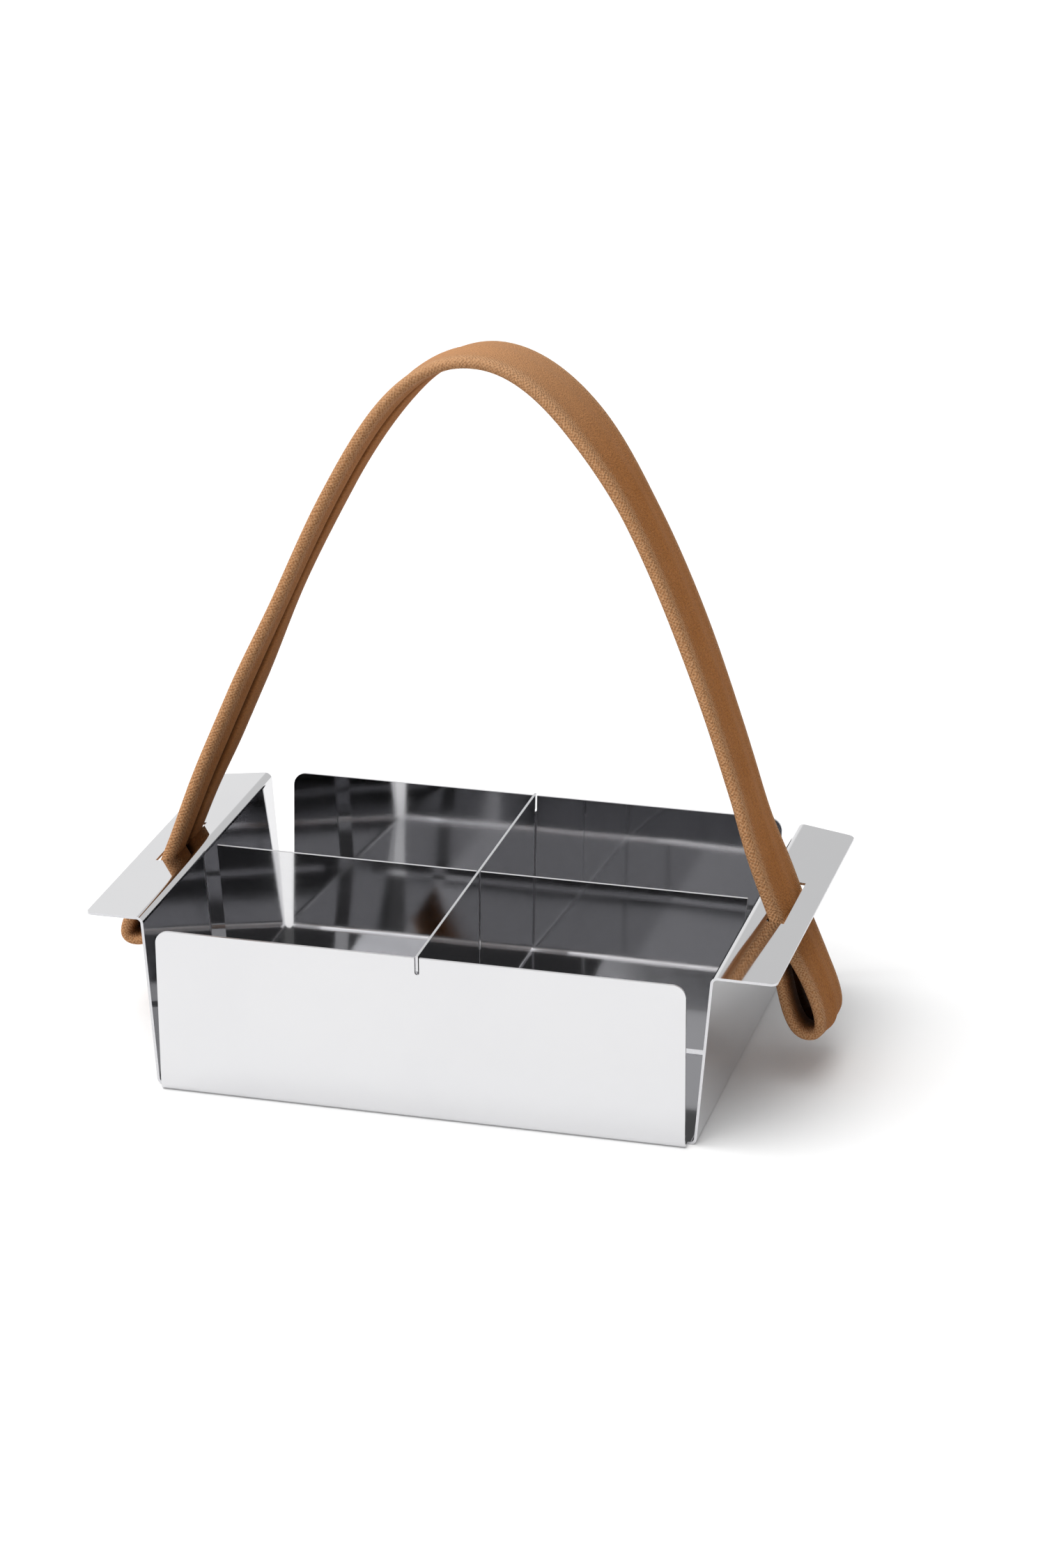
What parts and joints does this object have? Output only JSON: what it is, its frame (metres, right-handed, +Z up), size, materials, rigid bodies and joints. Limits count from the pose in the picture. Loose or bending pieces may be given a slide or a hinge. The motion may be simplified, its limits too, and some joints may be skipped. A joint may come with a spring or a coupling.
{
  "type": "packet holder",
  "caption": "Open steel table tray for paper packets, parted by crossed loose dividers, with a canvas strap arched between slotted side flanges as its carrying handle.",
  "frame": {"origin": "middle of the underside of the tray, on the table", "axes": "+X to the right along the long walls, +Y to the rear, +Z up"},
  "size_m": [0.2205, 0.138, 0.213],
  "materials": {
    "polished_steel": "mirror polished stainless sheet",
    "brown_canvas": "woven, folded over",
    "brown_thread": "twisted"
  },
  "bodies": {
    "tray": {"tray": "polished_steel", "left_strap_end": "brown_canvas", "right_strap_end": "brown_canvas", "left_loop_stitching": "brown_thread", "right_loop_stitching": "brown_thread"},
    "long_divider": {"long_divider": "polished_steel"},
    "cross_divider": {"cross_divider": "polished_steel"},
    "carry_strap": {"carry_strap": "brown_canvas"}
  },
  "joints": [
    {"name": "long_divider_lift", "type": "slide", "parent": "tray", "child": "long_divider", "axis": [0, 0, 1], "range_m": [0, 0.018]},
    {"name": "cross_divider_lift", "type": "slide", "parent": "long_divider", "child": "cross_divider", "axis": [0, 0, 1], "range_m": [0, 0.066]},
    {"name": "strap_swing", "type": "hinge", "parent": "tray", "child": "carry_strap", "pos_m": [0, 0, 0.073], "axis": [1, 0, 0], "range_deg": [-31, 49]}
  ]
}
